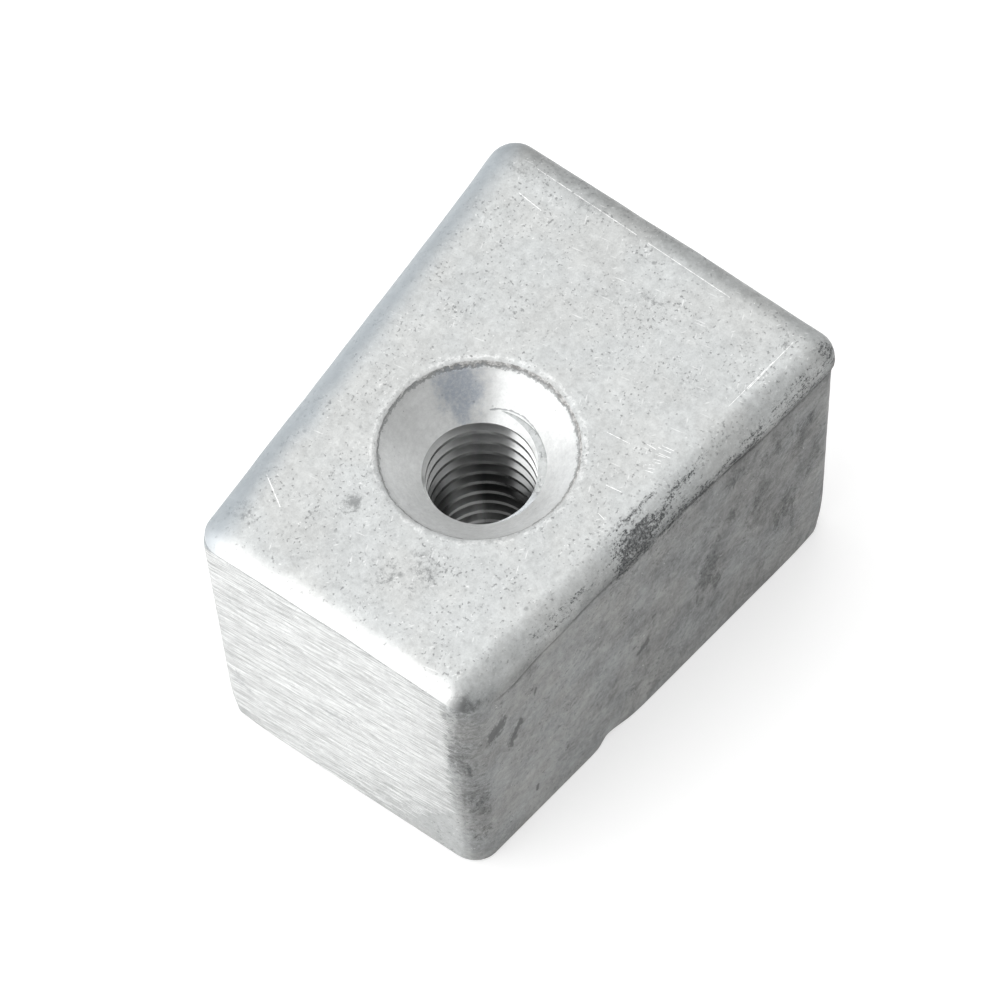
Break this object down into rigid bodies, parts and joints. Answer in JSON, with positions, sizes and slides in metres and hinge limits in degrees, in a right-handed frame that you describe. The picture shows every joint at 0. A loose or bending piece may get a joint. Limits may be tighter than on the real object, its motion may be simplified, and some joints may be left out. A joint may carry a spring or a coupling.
{
  "type": "sacrificial anode",
  "caption": "Cast block anode of light alloy, tapering in plan, with a tapped, countersunk hole through it and a flat base.",
  "frame": {"origin": "on the axis of the tapped hole, in the plane of the flat base", "axes": "+Z along the hole, from the base up to the countersunk face; +X from the narrow end towards the wide end"},
  "size_m": [0.0339, 0.0254, 0.0225],
  "materials": {
    "cast_metal": "as cast, with one end ground"
  },
  "bodies": {
    "root": {"anode_block": "cast_metal"}
  },
  "joints": []
}
